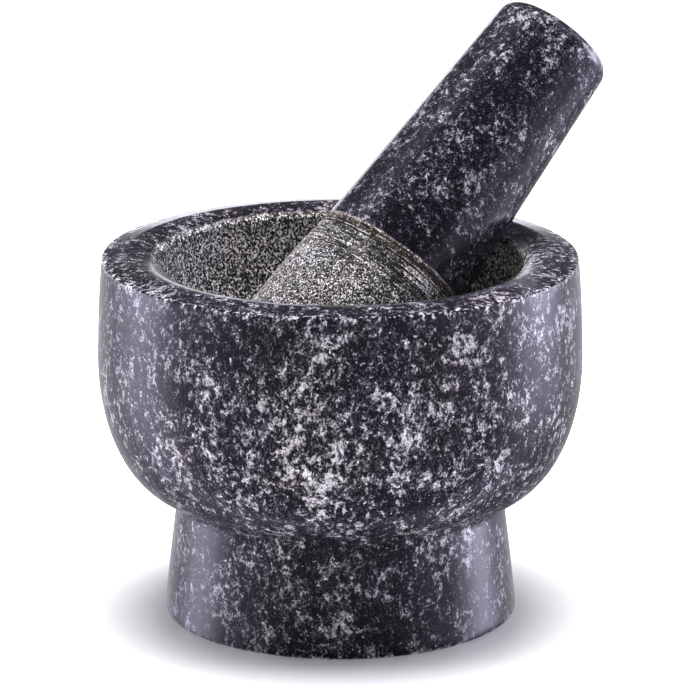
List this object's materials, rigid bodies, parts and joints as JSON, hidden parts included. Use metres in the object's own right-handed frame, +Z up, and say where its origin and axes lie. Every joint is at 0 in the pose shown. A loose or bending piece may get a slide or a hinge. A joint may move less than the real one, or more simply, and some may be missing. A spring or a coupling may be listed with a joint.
{
  "type": "mortar and pestle",
  "caption": "Polished granite mortar with a flared foot and a rounded bowl, holding a tapered stone pestle that leans on the lip.",
  "frame": {"origin": "centre of the foot's flat base, on the mortar's axis", "axes": "+Z up along the mortar's axis; the pestle leans towards +X and +Y"},
  "size_m": [0.1363, 0.13, 0.1592],
  "materials": {
    "mortar_granite": "near-black granite with light grey speckle, polished outside and on the lip, left rough in the hollow",
    "pestle_granite": "near-black granite with light grey speckle, polished grip, ground head with turned lines at the collar"
  },
  "bodies": {
    "mortar": {"mortar": "mortar_granite"},
    "pestle": {"pestle": "pestle_granite"}
  },
  "joints": [
    {"name": "pestle_lift", "type": "slide", "parent": "mortar", "child": "pestle", "axis": [0, 0, 1], "range_m": [0, 0.12]}
  ]
}
